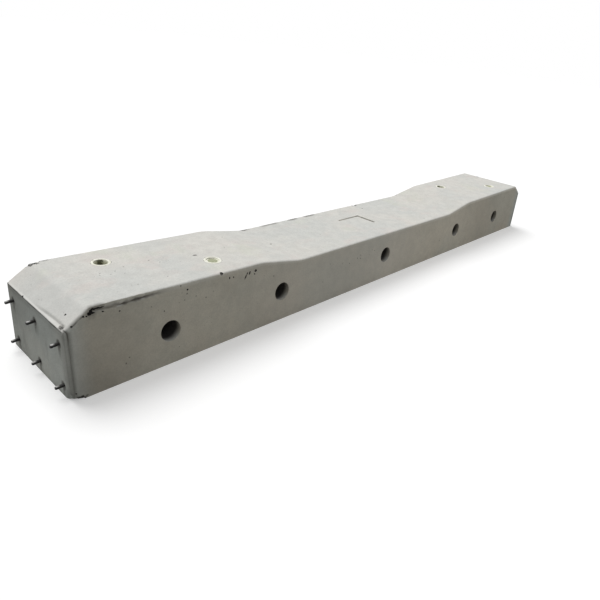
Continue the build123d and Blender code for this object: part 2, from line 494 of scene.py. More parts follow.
def fade(value, low, high):
    """0 below low, 1 above high and smooth between; low may be the larger."""
    t = np.clip((value - low) / (high - low), 0, 1)
    return t * t * (3 - 2 * t)


def noise_at(points, scale, seed):
    """Smooth noise from about -1 to 1 at each point."""
    shift = Vector((seed * 17.3, seed * 5.1, seed * 9.7))
    stretch = Vector(scale) if hasattr(scale, "__len__") else Vector((scale, scale, scale))
    return np.array([noise.noise(Vector(p) * stretch + shift) for p in points])


# Marks that the photograph shows at the left end of the front side, in metres
GROOVE = (-0.996, -0.80)         # where the dark line under the front arris starts and fades out
GROOVE_PATH = ((-0.996, -0.950, -0.868, -0.800), (0.0085, 0.0116, 0.0088, 0.0070))    # x, and drop below the top
GROOVE_WIDTH = 0.0027
GROOVE_DEPTH = 0.0034
BROKEN_LEAN = 0.28               # lean of the broken strip between the arris and the groove
JOINT = 0.009                    # the mould joint's distance from the end, and the height where it bends to the corner
JOINT_BEND = 0.149
JOINT_TOP = 0.161
JOINT_DEPTH = 0.0012
FIN_WIDTH = 0.0035               # thin flash along the end faces' top edges
FIN_HEIGHT = 0.0011
VALLEY = (0.0045, 0.0085)        # the hollow's distance from the left end, at mid-width and at its front
CRUMB = ((-1.0450, -0.1165, 0.1605), (0.0038, 0.0052, 0.0034), 0.3)
FOOT_SPOT = (-1.030, 0.0025)     # x and z, on the front side
# Dark strokes on the back arris: from x, to x, and strength
BACK_STROKES = ((-0.400, -0.372, 0.50), (-0.322, -0.255, 0.75), (-0.203, -0.165, 1.00), (-0.128, -0.082, 1.00))
BLUNT_CORNER = Vector((-HALF_LENGTH, -HALF_BASE, 0.0))
BLUNT_RADIUS = 0.026
BLUNT_DEPTH = 0.0085


class Surface:
    """Where points of the concrete lie, and how strongly each mark shows at each of them, from 0 to 1."""

    def __init__(self, points):
        self.points = points
        self.x, self.y, self.z = points.T
        self.drop = top_height(self.x) - self.z
        self.beside = HALF_BASE - SIDE_TAPER * self.z - np.abs(self.y)
        self.near_end = HALF_LENGTH - np.abs(self.x)
        self.front = (self.y < 0) * fade(self.beside, 0.008, 0.005)
        self.end_drop = END_HEIGHT - self.z

    def noise(self, scale, seed):
        return noise_at(self.points, scale, seed)

    def arris(self):
        return fade(self.drop, 0.010, 0.003) * fade(self.beside, 0.008, 0.003) * (self.z > 0.1)

    def groove_drop(self):
        return np.interp(self.x, *GROOVE_PATH) + 0.0007 * self.noise((35.0, 0.0, 0.0), 5)

    def groove(self):
        """The groove below the front arris: how deep it is cut, and how much painted shade, with some dirt, darkens it.
        """
        along = fade(self.x, GROOVE[0] - 0.003, GROOVE[0] + 0.006) * fade(self.x, GROOVE[1], GROOVE[1] - 0.09)
        broken = np.clip(1.0 + 0.5 * self.noise((55.0, 0.0, 0.0), 15), 0.6, 1)
        width = GROOVE_WIDTH * np.clip(1.35 + 1.3 * self.noise((95.0, 0.0, 0.0), 27), 0.7, 2.3)
        return self.front * along * broken * np.exp(-(((self.drop - self.groove_drop()) / width) ** 2))

    def broken_strip(self):
        """How far the broken strip between the front arris and the groove lies back, in metres."""
        along = fade(self.x, -1.003, -0.988) * fade(self.x, -0.79, -0.88)
        lumps = 0.0006 * self.noise(90.0, 24) + 0.0005 * self.noise(230.0, 28)
        wanted = (self.groove_drop() - self.drop) * BROKEN_LEAN + lumps
        return along * (self.y < 0) * (self.drop < 0.02) * np.clip(wanted - self.beside, 0, 0.004)

    def broken_strip_dirt_and_shade(self):
        """Dirt and painted shade on the broken strip."""
        patchy = np.clip(0.65 + 0.8 * self.noise((70.0, 40.0, 90.0), 23) + 0.6 * self.noise(190.0, 29), 0, 1)
        front = (self.y < 0) * fade(self.beside, 0.010, 0.004)
        along = fade(self.x, -1.003, -0.990) * fade(self.x, -0.80, -0.93)
        downwards = fade(self.drop, 0.0010, 0.009) * fade(self.drop, 0.015, 0.010)
        return patchy * front * along * downwards

    def shade_round_gash(self):
        """Painted shade round the gash."""
        places = [(x, z) for (x, z), _, _ in GASH[:6]]
        away = np.min([np.hypot(self.x - x, self.z - z) for x, z in places], axis=0)
        return self.front * fade(away + 0.002 * self.noise(150.0, 30), 0.012, 0.004)

    def painted_shade_on_side(self):
        """Painted shade over the front side towards its ends, most of it low down by the left end."""
        low = 0.5 * fade(self.z, 0.135, 0.080) + 0.5 * fade(self.z, 0.080, 0.0)
        left = 0.70 * low * fade(self.x, -0.88, -1.0) + 0.40 * fade(self.x, -0.78, -0.98)
        right = 0.50 * fade(self.x, 0.30, 0.75) + 0.40 * fade(self.x, 1.000, 1.040)
        return self.front * (left + right) * (self.drop > 0.010)

    def slope_smudges(self):
        """Broken dark specks along the arris of the end slope."""
        along = fade(self.x, -1.047, -1.040) * fade(self.x, -0.992, -1.0)
        patchy = np.clip(0.55 + 1.3 * self.noise((110.0, 60.0, 110.0), 16), 0, 1)
        return self.front * along * patchy * np.exp(-(((self.drop - 0.0070) / 0.0026) ** 2))

    def joint(self):
        """The mould joint up the sides near each end, which bends to the corner at its top."""
        bend = np.clip((self.z - JOINT_BEND) / (JOINT_TOP - JOINT_BEND), 0, 1)
        path = JOINT * (1 - bend**2) + 0.0005 * self.noise((0.0, 0.0, 60.0), 17)
        line = np.exp(-(((self.near_end - path) / 0.0023) ** 2))
        return line * (self.beside < 0.005) * fade(self.z, 0.004, 0.016) * fade(self.z, 0.166, 0.160)

    def shade_beside_joint(self):
        """Painted shade, with some dirt, on both sides of the mould joint, also round the corner; darker low down."""
        outer = fade(self.near_end, JOINT + 0.013, JOINT) * (self.near_end >= JOINT)
        low = fade(self.z, 0.110, 0.050)
        inner = (self.near_end < JOINT) * (0.62 + 0.25 * low + 0.38 * fade(self.near_end, 0.002, JOINT))
        corner_shade = 0.55 + 0.3 * fade(self.z, 0.11, 0.15) + 0.30 * low
        corner = (self.near_end < 0.0035) * fade(self.beside, 0.036, 0.0) * corner_shade
        on_side = (self.beside < 0.005) * np.maximum(outer, inner)
        return np.maximum(on_side, corner) * fade(self.z, 0.158, 0.150) * (self.y < 0)

    def strip(self):
        """The strip between the mould joint and the corner."""
        return fade(self.near_end, 0.0, JOINT) * (self.near_end < JOINT) * (self.beside < 0.004) * (self.z < 0.156)

    def fin(self):
        """Raised flash along the end faces' top edges."""
        ragged = np.clip(0.75 + 0.8 * self.noise((40.0, 45.0, 40.0), 8), 0.1, 1)
        edge = fade(self.near_end, FIN_WIDTH, 0.001) * fade(self.end_drop, 0.0034, 0.0015)
        return edge * ragged * fade(self.beside, 0.006, 0.016)

    def valley_distance(self):
        return VALLEY[0] + (VALLEY[1] - VALLEY[0]) * fade(self.y, 0.01, -0.10)

    def valley(self):
        """Shallow hollow in the slope behind the flash, over the front half of the left end."""
        line = np.exp(-(((self.near_end - self.valley_distance()) / 0.0019) ** 2)) * (self.drop < 0.004)
        return line * (self.x < 0) * fade(self.y, 0.01, -0.05) * fade(self.beside, 0.008, 0.02)

    def crest(self):
        """Pale on the flash, out to the hollow behind it: partly clean concrete, partly a painted highlight."""
        reach = np.where(self.x < 0, self.valley_distance() - 0.0005, VALLEY[0])
        return fade(self.near_end, reach, reach - 0.002) * fade(self.end_drop, 0.0016, 0.0004) * (self.drop < 0.005)

    def under_fin(self):
        """Recessed line on the end faces, right below the flash, darkened as a painted shadow."""
        depth = 0.0036 + 0.0005 * self.noise((0.0, 50.0, 0.0), 18)
        line = np.exp(-(((self.end_drop - depth) / 0.0025) ** 2))
        strength = np.clip(0.90 + 0.45 * self.noise((0.0, 30.0, 0.0), 19), 0.6, 1)
        return line * strength * (self.near_end < 0.004) * fade(self.beside, 0.0, 0.010)

    def beside_crumb(self):
        away = np.linalg.norm(self.points - np.array(CRUMB[0]), axis=1)
        return fade(away, 0.0095, 0.004)

    def foot_spot(self):
        """A dark chip mark at the foot of the front side, by the corner."""
        away = np.hypot(self.x - FOOT_SPOT[0], 1.8 * (self.z - FOOT_SPOT[1])) + 0.0015 * self.noise(200.0, 31)
        return (self.y < 0) * (self.beside < 0.012) * fade(away, 0.012, 0.006)

    def back_strokes(self):
        """Dark strokes on the back arris, over the low middle."""
        strokes = [
            strength * fade(self.x, start - 0.006, start + 0.006) * fade(self.x, end + 0.006, end - 0.006)
            for start, end, strength in BACK_STROKES
        ]
        return np.max(strokes, axis=0) * (self.y > 0) * (self.drop < 0.0045) * fade(self.beside, 0.0145, 0.0080)

    def blunt(self):
        ragged = 0.0035 * self.noise(90.0, 20)
        return fade(np.linalg.norm(self.points - np.array(BLUNT_CORNER), axis=1) + ragged, BLUNT_RADIUS, 0.0)


def weather(points, normals):
    """Moves the grid's points along their normals: waves, worn edges, and the marks listed above."""
    s = Surface(points)
    on_end = s.near_end < 1e-5
    move = 0.00022 * (s.noise(8.0, 1) - 1)
    move += 0.00010 * (s.noise(45.0, 2) - 1)

    wear = np.clip(s.noise((9.0, 2.0, 2.0), 3) - 0.15, 0, 1)
    crumbs = np.clip(s.noise((90.0, 60.0, 110.0), 4), -0.5, 1)
    rough_part = 1 + 1.6 * s.front * fade(s.x, -0.80, -0.95)
    move -= s.arris() * rough_part * (0.0012 * wear + 0.00035 * crumbs)

    rough = 0.75 + 0.5 * s.noise((120.0, 0.0, 60.0), 6)
    move -= s.groove() * rough * GROOVE_DEPTH
    move -= s.joint() * JOINT_DEPTH + s.strip() * 0.0007
    move += s.fin() * FIN_HEIGHT
    move -= s.valley() * 0.0010 + s.under_fin() * 0.0014
    move -= on_end * 0.0007 * np.clip(s.noise(30.0, 10), 0, 1)

    foot = fade(s.z, 0.012, 0.001) * (s.beside < 0.004)
    move -= foot * 0.0016 * np.clip(s.noise((28.0, 28.0, 50.0), 11) + 0.3, 0, 1)
    move[s.z < 1e-6] *= 0.0
    inwards = np.array(Vector((1.0, 0.8, 0.9)).normalized())
    moved = points + normals * move[:, None] + inwards * (BLUNT_DEPTH * s.blunt())[:, None]
    moved[:, 1] += s.broken_strip()
    return moved


def dirt_and_painted_shade(points):
    """How dark each point is: the joint, painted shade in the groove, beside the joint, below the flash and over the
    front side, with dirt mixed in, and the sides darker towards their feet.
    """
    s = Surface(points)
    on_end = s.near_end < 0.004
    streak = s.noise((20.0, 60.0, 14.0), 12)
    # Painted shade below the groove.
    shade_below_groove = s.front * fade(s.x, -1.0, -0.985) * fade(s.x, -0.80, -0.93)
    shade_below_groove = shade_below_groove * fade(s.drop, 0.010, 0.013) * fade(s.drop, 0.026, 0.014)
    # Painted shade on the end faces, below the flash and towards the back.
    shade_below_flash = 0.22 * fade(s.end_drop, 0.024, 0.003) + 0.18 * fade(s.end_drop, 0.130, 0.020)
    shade_toward_back = 0.25 * fade(s.y, -0.03, 0.13)
    upright = (s.drop > 0.009) | on_end
    blobs = np.clip(0.95 + 0.45 * s.noise((75.0, 0.0, 60.0), 33), 0.65, 1)
    amounts = [
        # The groove's dark line: painted shade in the recess, with some dirt.
        s.groove() * blobs,
        shade_below_groove * 0.20 * (1 + streak),
        s.broken_strip_dirt_and_shade() * (0.52 + 0.4 * streak),
        s.shade_round_gash() * 0.55,
        s.painted_shade_on_side() * (0.34 + 0.1 * streak),
        s.slope_smudges() * 0.75,
        s.joint() * (0.70 + 0.22 * fade(s.z, 0.125, 0.145)),
        s.shade_beside_joint() * 0.56,
        # Painted shade in the hollow behind the flash.
        s.valley() * 0.42,
        s.under_fin(),
        on_end * fade(s.end_drop, 0.0005, 0.002) * (shade_below_flash + shade_toward_back),
        s.beside_crumb() * 0.55 * (1 + s.noise(300.0, 22)),
        s.foot_spot() * 0.95,
        s.back_strokes(),
        s.blunt() * np.clip(s.noise(120.0, 25) * 2.5, 0, 1) * 0.9,
        upright * fade(s.z, 0.022, 0.0) * (0.10 + 0.16 * streak),
        on_end * fade(s.z, 0.009, 0.0) * (0.50 + 0.3 * streak),
        on_end * (s.y > 0) * fade(s.beside, 0.014, 0.003) * 0.55,
    ]
    return np.clip(np.max(amounts, axis=0), 0, 1)


def pale_tone_and_painted_light(points):
    """How pale each point is: the flash (partly clean concrete, partly a painted highlight), the end slopes a little,
    and the sides below the arris and in the middle (partly tone, partly painted light).
    """
    s = Surface(points)
    slope = fade(s.near_end, 0.060, 0.048) * (s.drop < 0.006)
    below_arris = fade(s.drop, 0.0130, 0.0065) * (s.drop > 0.004) * (s.beside < 0.006)
    uneven = 1 + 0.5 * s.noise((9.0, 30.0, 30.0), 26)
    # Paler middle of the front side: partly the concrete's tone, partly painted light.
    middle = s.front * (s.drop > 0.008) * fade(s.x, -0.75, -0.25) * fade(s.x, 0.35, -0.05)
    amounts = [s.crest() * 0.58, slope * 0.20, below_arris * 0.20 * uneven, middle * 0.16]
    return np.clip(np.max(amounts, axis=0), 0, 1)


def tube(radius, start, end, steps=40):
    """A closed cylinder between two points, as (vertices, faces)."""
    start, end = Vector(start), Vector(end)
    turn = (end - start).to_track_quat("Z", "Y")
    angles = [2 * math.pi * i / steps for i in range(steps)]
    circle = [turn @ Vector((radius * math.cos(a), radius * math.sin(a), 0)) for a in angles]
    vertices = [start + p for p in circle] + [end + p for p in circle]
    faces = [(i, (i + 1) % steps, steps + (i + 1) % steps, steps + i) for i in range(steps)]
    faces += [tuple(range(steps))[::-1], tuple(range(steps, 2 * steps))]
    return vertices, faces


def pebble(centre, size, turn=0.0, steps=8, rings=4, ragged=0.0):
    """A small closed egg shape that cuts a pit; ragged ones are lumpy."""
    centre = Vector(centre)
    spin = Matrix.Rotation(turn, 3, "Y")
    vertices = [Vector((0, 0, 1))]
    for ring in range(1, rings):
        tip = math.pi * ring / rings
        for i in range(steps):
            a = 2 * math.pi * i / steps
            vertices.append(Vector((math.sin(tip) * math.cos(a), math.sin(tip) * math.sin(a), math.cos(tip))))
    vertices.append(Vector((0, 0, -1)))
    faces = [(0, 1 + i, 1 + (i + 1) % steps) for i in range(steps)]
    for ring in range(rings - 2):
        a = 1 + ring * steps
        faces += [(a + i, a + steps + i, a + steps + (i + 1) % steps, a + (i + 1) % steps) for i in range(steps)]
    last = len(vertices) - 1
    faces += [(last, last - steps + (i + 1) % steps, last - steps + i) for i in range(steps)]
    lumps = [1 + ragged * noise.noise(v * 1.9 + centre * 400) for v in vertices]
    size = Vector(size)
    return [centre + spin @ (v * size) * lump for v, lump in zip(vertices, lumps)], faces


def dowel_frame(side, along, across):
    """Place of a dowel's mouth: side is -1 left or 1 right; along and across are as in the CAD model."""
    x = side * (SEAT_X + along * DOWEL_ALONG)
    y = side * across * DOWEL_ACROSS
    z = SEAT_HEIGHT + (abs(x) - SEAT_X) * SEAT_CANT
    tilt = Matrix.Rotation(-side * math.atan(SEAT_CANT), 4, "Y")
    return Matrix.Translation((x, y, z)) @ tilt


DOWELS = {
    "left_inner": dowel_frame(-1, -1, 1),
    "left_outer": dowel_frame(-1, 1, -1),
    "right_inner": dowel_frame(1, -1, 1),
    "right_outer": dowel_frame(1, 1, -1),
}


def panel_cutter():
    """The shallow panel in the middle of the top, its walls leaning outwards a little."""
    half_x, half_y = PANEL_SIZE[0] / 2, PANEL_SIZE[1] / 2
    above = 0.004
    levels = [(MIDDLE_HEIGHT - PANEL_DEPTH, -0.0004), (MIDDLE_HEIGHT + above, 0.0006)]
    vertices, corner, steps = [], 0.003, 4
    for z, grow in levels:
        for sx, sy, start in ((1, 1, 0), (-1, 1, 90), (-1, -1, 180), (1, -1, 270)):
            for i in range(steps + 1):
                a = math.radians(start + 90 * i / steps)
                x = sx * (half_x - corner) + (corner + grow) * math.cos(a)
                y = sy * (half_y - corner) + (corner + grow) * math.sin(a)
                vertices.append(Vector((x, y, z)))
    n = len(vertices) // 2
    faces = [(i, (i + 1) % n, n + (i + 1) % n, n + i) for i in range(n)]
    return vertices, faces + [tuple(range(n))[::-1], tuple(range(n, 2 * n))]


# Pits and chips that the photograph shows: place, and half-sizes in metres
FRONT_PITS = (
    ((-0.606, 0.1556), (0.0022, 0.004, 0.0064), 0.5),
    ((-0.601, 0.1636), (0.0019, 0.003, 0.0038), 0.5),
    ((-0.593, 0.1629), (0.0024, 0.004, 0.0050), 0.35),
    ((-0.574, 0.1647), (0.0044, 0.004, 0.0036), 0.2),
    ((-0.577, 0.1562), (0.0018, 0.003, 0.0020), 0.0),
    ((-0.656, 0.1656), (0.0024, 0.003, 0.0030), 0.4),
    ((-0.644, 0.1648), (0.0020, 0.003, 0.0022), 0.2),
    ((-0.510, 0.1343), (0.0015, 0.002, 0.0014), 0.0),
    ((-0.774, 0.1684), (0.0026, 0.003, 0.0024), 0.0),
    ((-0.791, 0.1815), (0.0018, 0.003, 0.0014), 0.0),
    ((-0.782, 0.1456), (0.0014, 0.002, 0.0012), 0.0),
    ((-0.935, 0.1660), (0.0022, 0.002, 0.0016), 0.0),
    ((-1.040, 0.0160), (0.0026, 0.003, 0.0034), 0.3),
    ((-1.031, 0.0010), (0.0090, 0.005, 0.0034), 0.0),
)
TOP_PITS = (
    ((-1.027, -0.096), (0.0028, 0.0024, 0.0020)),
    ((-0.888, -0.012), (0.0016, 0.0012, 0.0010)),
    ((-0.873, -0.002), (0.0020, 0.0012, 0.0010)),
    ((-0.861, -0.022), (0.0013, 0.0010, 0.0008)),
    ((-0.763, -0.006), (0.0016, 0.0014, 0.0010)),
    ((-0.667, -0.010), (0.0050, 0.0014, 0.0012)),
    ((-0.571, -0.004), (0.0016, 0.0012, 0.0008)),
    ((-0.401, -0.003), (0.0050, 0.0018, 0.0012)),
    ((-0.518, 0.070), (0.0020, 0.0015, 0.0012)),
    ((0.138, 0.082), (0.0034, 0.0020, 0.0012)),
)
ARRIS_CHIPS = (
    (0.144, 1, (0.0130, 0.0105, 0.0046)),
    (0.420, 1, (0.0060, 0.0060, 0.0034)),
    (-0.330, 1, (0.0040, 0.0030, 0.0022)),
    (-0.990, 1, (0.0130, 0.0095, 0.0034)),
    (-1.006, 1, (0.0060, 0.0070, 0.0028)),
    (-0.679, -1, (0.0046, 0.0050, 0.0042)),
)
END_NOTCHES = (
    (0.046, (0.0026, 0.0040, 0.0028)),
)
# Short gaps round a dowel's collar: angles, and the half-sizes of each
COLLAR_GAPS = (108, 164, -32)
COLLAR_GAP_SIZE = (0.0009, 0.0030, 0.0012)
# The gash under the front arris near the left end: places on the side, half-sizes and turns
GASH = (
    ((-0.9960, 0.1785), (0.0048, 0.0100, 0.0036), 0.5),
    ((-0.9920, 0.1820), (0.0044, 0.0095, 0.0034), 0.8),
    ((-0.9870, 0.1846), (0.0052, 0.0085, 0.0026), 0.3),
    ((-0.9795, 0.1852), (0.0066, 0.0075, 0.0020), 0.05),
    ((-0.9710, 0.1838), (0.0060, 0.0060, 0.0015), -0.1),
    ((-0.9890, 0.1780), (0.0050, 0.0070, 0.0016), 0.15),
    ((-1.0080, 0.1760), (0.0026, 0.0040, 0.0017), 0.6),
    ((-1.0020, 0.1750), (0.0022, 0.0040, 0.0014), 0.2),
    ((-0.9690, 0.1752), (0.0026, 0.0035, 0.0014), 0.3),
    ((-1.0320, 0.1633), (0.0024, 0.0035, 0.0016), 0.4),
)


def clear_of_openings(x, y):
    """True where a pit in the top meets no dowel and no panel."""
    if abs(x) < PANEL_SIZE[0] / 2 + 0.02 and abs(y) < PANEL_SIZE[1] / 2 + 0.02:
        return False
    return all(math.hypot(x - m.translation.x, y - m.translation.y) > 0.04 for m in DOWELS.values())


def side_y(z):
    return HALF_BASE - SIDE_TAPER * z


def scattered(count, limit_u, pick_v, placed, allowed):
    """Random places, more than half of them in loose clusters, none close to another."""
    centres = [(random.uniform(-1, 1) * limit_u, pick_v()) for _ in range(max(3, count // 7))]
    found = []
    while len(found) < count:
        if random.random() < 0.6:
            u, v = random.choice(centres)
            u, v = random.gauss(u, 0.045), random.gauss(v, 0.014)
        else:
            u, v = random.uniform(-1, 1) * limit_u, pick_v()
        free = all(math.hypot(u - a, v - b) > 0.008 for a, b in placed + found)
        if free and abs(u) < limit_u and allowed(u, v):
            found.append((u, v))
    return found


def noted_pits():
    """The pits and chips listed above, each (place, half-sizes, turn)."""
    for (x, z), size, turn in FRONT_PITS:
        yield (x, -side_y(z), z), size, turn
    for (x, y), size in TOP_PITS:
        yield (x, y, float(top_height(x)[0])), size, 0.0
    for x, side, size in ARRIS_CHIPS:
        z = float(top_height(x)[0])
        yield (x, side * (side_y(z) - 0.0018), z - 0.0018), size, 0.0
    for y, size in END_NOTCHES:
        yield (-HALF_LENGTH + 0.0015, y, END_HEIGHT - 0.001), size, 0.0


def collar_gaps():
    """Closed shapes for the gaps round each dowel's collar."""
    for number, mouth in enumerate(DOWELS.values()):
        for angle in COLLAR_GAPS:
            around = Matrix.Rotation(math.radians(angle + 7 * number), 4, "Z")
            out = Matrix.Translation((COLLAR_RADIUS + COLLAR_GAP_SIZE[0] / 2, 0, 0))
            vertices, faces = pebble((0, 0, 0), COLLAR_GAP_SIZE, 0.0, 10, 6, 0.3)
            yield [mouth @ around @ out @ v for v in vertices], faces


def pits():
    """Small random pits in the top and sides, each (place, half-sizes, turn)."""
    on_top = lambda x, y: abs(y) < 0.12 and clear_of_openings(x, y)
    for x, y in scattered(52, HALF_LENGTH - 0.07, lambda: random.uniform(-0.11, 0.11), [p for p, _ in TOP_PITS], on_top):
        radius = random.choice((0.0005, 0.0007, 0.0007, 0.0009, 0.0013))
        yield (x, y, float(top_height(x)[0])), (radius * random.uniform(1, 1.8), radius, radius), 0.0
    for side in (-1, 1):
        known = [p for p, _, _ in FRONT_PITS] + [p for p, _, _ in GASH]
        on_side = lambda x, z: (
            0.02 < z < float(top_height(x)[0]) - 0.02
            and all(math.hypot(x - a, z - CROSS_HOLE_HEIGHT) > 0.035 for a in CROSS_HOLES)
        )
        for x, z in scattered(44, HALF_LENGTH - 0.03, lambda: random.uniform(0.02, 0.16), known, on_side):
            radius = random.choice((0.0006, 0.0008, 0.0010, 0.0014, 0.0018))
            yield (x, side * side_y(z), z), (radius, 0.0016, radius * random.uniform(1, 1.6)), random.uniform(-0.5, 0.5)


def wire_pit(y, z, side):
    """Cone-shaped break-out where a wire leaves the end face, uneven round its edge."""
    steps = 20
    vertices = []
    for depth, radius in ((0.0030, WIRE_RADIUS - 0.0005), (0.0, 0.0066), (-0.0015, 0.0075)):
        for k in range(steps):
            a = 2 * math.pi * k / steps
            r = radius * (1 + 0.28 * noise.noise(Vector((math.cos(a) * 1.4, math.sin(a) * 1.4, y * 90 + z * 50 + side))))
            vertices.append(Vector((side * (HALF_LENGTH - depth), y + r * math.cos(a), z + r * math.sin(a))))
    faces = []
    for start in (0, steps):
        faces += [(start + k, start + (k + 1) % steps, start + steps + (k + 1) % steps, start + steps + k)
                  for k in range(steps)]
    faces += [tuple(range(steps))[::-1], tuple(range(2 * steps, 3 * steps))]
    return vertices, [face if side > 0 else face[::-1] for face in faces]


def joined(shapes):
    """Puts separate (vertices, faces) shapes into one list of each."""
    vertices, faces = [], []
    for some_vertices, some_faces in shapes:
        start = len(vertices)
        vertices += some_vertices
        faces += [tuple(i + start for i in face) for face in some_faces]
    return vertices, faces


def cut(piece, name, shapes, material, operation="DIFFERENCE"):
    """Cuts closed shapes out of the piece, or adds them; the new faces take the material."""
    cutter = new_piece(name, *joined(shapes), [material])
    change = piece.modifiers.new("cut", "BOOLEAN")
    change.operation = operation
    change.solver = "EXACT"
    change.material_mode = "TRANSFER"
    change.object = cutter
    bpy.context.view_layer.update()
    result = bpy.data.meshes.new_from_object(piece.evaluated_get(bpy.context.evaluated_depsgraph_get()))
    piece.modifiers.clear()
    old = piece.data
    piece.data = result
    bpy.data.meshes.remove(old)
    bpy.data.objects.remove(cutter)


def make_concrete():
    piece = new_piece("concrete", *concrete_grid(), [CONCRETE])
    mesh = piece.data
    places = np.empty(len(mesh.vertices) * 3)
    mesh.vertices.foreach_get("co", places)
    normals = np.array([tuple(n.vector) for n in mesh.vertex_normals])
    mesh.vertices.foreach_set("co", weather(places.reshape(-1, 3), normals).ravel())
    mesh.update()
    beyond = HALF_BASE + 0.01
    holes = [tube(CROSS_HOLE_RADIUS, (x, -beyond, CROSS_HOLE_HEIGHT), (x, beyond, CROSS_HOLE_HEIGHT)) for x in CROSS_HOLES]
    pockets = [
        tube(COLLAR_RADIUS + 0.0002, m @ Vector((0, 0, -DOWEL_LENGTH - 0.001)), m @ Vector((0, 0, 0.006)), 48)
        for m in DOWELS.values()
    ]
    cut(piece, "holes", holes, HOLE_CONCRETE)
    cut(piece, "pockets", pockets, PIT_CONCRETE)
    cut(piece, "panel", [panel_cutter()], CONCRETE)
    cut(piece, "collar_gaps", list(collar_gaps()), DEEP_PIT_CONCRETE)
    cut(piece, "pits", [pebble(*pit) for pit in pits()], PIT_CONCRETE)
    for pit in noted_pits():
        cut(piece, "noted_pit", [pebble(*pit, 10, 6, 0.35)], DEEP_PIT_CONCRETE)
    cut(piece, "crumb", [pebble(*CRUMB, 14, 9, 0.7)], CONCRETE, "UNION")
    cut(piece, "wire_pits", [wire_pit(y, z, side) for y in WIRE_COLUMNS for z in WIRE_ROWS for side in (-1, 1)],
        PIT_CONCRETE)
    for (x, z), size, turn in GASH:
        cut(piece, "gash", [pebble((x, -side_y(z), z), size, turn, 14, 8, 0.3)], GASH_CONCRETE)
    mesh = piece.data
    places = np.empty(len(mesh.vertices) * 3)
    mesh.vertices.foreach_get("co", places)
    # Per-point amounts of dirt with painted shade, and of paler tone with painted light.
    for name, amount in (("dirt_and_shade", dirt_and_painted_shade), ("pale", pale_tone_and_painted_light)):
        layer = mesh.attributes.new(name, "FLOAT", "POINT")
        layer.data.foreach_set("value", amount(places.reshape(-1, 3)).astype(np.float32))
    mesh.set_sharp_from_angle(angle=math.radians(38))
    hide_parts("concrete_body")
    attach(piece, "root")


def lathe(profile, steps, place, wobble=None):
    """Turns a list of (radius, height) about the local Z axis; both ends of the profile lie on it."""
    vertices = [place @ Vector((0, 0, profile[0][1]))]
    for i, (radius, height) in enumerate(profile[1:-1]):
        for k in range(steps):
            a = 2 * math.pi * k / steps
            r, h = wobble(a, radius, height) if wobble else (radius, height)
            vertices.append(place @ Vector((r * math.cos(a), r * math.sin(a), h)))
    vertices.append(place @ Vector((0, 0, profile[-1][1])))
    rings = len(profile) - 2
    last = len(vertices) - 1
    faces = [(0, 1 + (k + 1) % steps, 1 + k) for k in range(steps)]
    for ring in range(rings - 1):
        a = 1 + ring * steps
        faces += [(a + k, a + (k + 1) % steps, a + steps + (k + 1) % steps, a + steps + k) for k in range(steps)]
    a = 1 + (rings - 1) * steps
    faces += [(a + k, a + (k + 1) % steps, last) for k in range(steps)]
    return vertices, faces


THREAD_PITCH = 0.0085
THREAD_DEPTH = 0.0013
THREAD_TOP = -0.007
THREAD_END = -0.116


def make_dowel(name, place, is_open, seed):
    """Plastic dowel: tapered foot, barrel, flat collar with an inner lip, and a threaded bore."""
    outside = [(0, -DOWEL_LENGTH), (FOOT_RADIUS, -DOWEL_LENGTH), (BARREL_RADIUS, -0.118), (BARREL_RADIUS, -0.0042),
               (COLLAR_RADIUS - 0.0004, -0.0040)]
    rim = [(0.0220, -0.0030), (0.0220, -0.0006), (0.0217, 0.0), (0.0210, 0.0003), (0.0182, 0.0003), (0.0178, -0.0002),
           (0.0175, -0.0002), (0.0171, 0.0001), (0.0165, 0.0001), (0.0159, -0.0008), (0.0152, -0.0030)]
    rows = round((THREAD_TOP - THREAD_END) / THREAD_PITCH * 9) if is_open else 3
    bore = [(BORE_RADIUS, THREAD_TOP + (THREAD_END - THREAD_TOP) * i / rows) for i in range(rows + 1)]
    inside = [(BORE_RADIUS, -0.0055), *bore, (BORE_RADIUS, -0.123), (0.0142, -0.124), (0, -0.124)]

    def wobble(a, radius, height):
        around = Vector((math.cos(a), math.sin(a), seed * 3.7))
        if radius > 0.0205 and height > -0.004:
            radius -= 0.0016 * max(0, noise.noise(around * 2.7) - 0.2)
            height += 0.00012 * noise.noise(around * 5.3)
        if is_open and radius == BORE_RADIUS and THREAD_END <= height <= THREAD_TOP:
            wave = 0.5 + 0.5 * math.cos(2 * math.pi * height / THREAD_PITCH - a)
            ease = min(1, (THREAD_TOP - height) / 0.004, (height - THREAD_END) / 0.004)
            radius += THREAD_DEPTH * wave ** 0.7 * ease
        return radius, height

    vertices, faces = lathe(outside + rim + inside, 56, place, wobble)
    piece = new_piece(f"dowel_{name}_detail", vertices, faces, [DOWEL_PLASTIC, BORE_PLASTIC], sharp_angle=50)
    turn_back = place.inverted()
    for polygon in piece.data.polygons:
        centre = turn_back @ polygon.center
        if math.hypot(centre.x, centre.y) < 0.0164 and centre.z < -0.0006:
            polygon.material_index = 1
    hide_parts(f"dowel_{name}")
    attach(piece, "root")


CAP_DISC_RADIUS = 0.0127         # inside its worn, pale edge


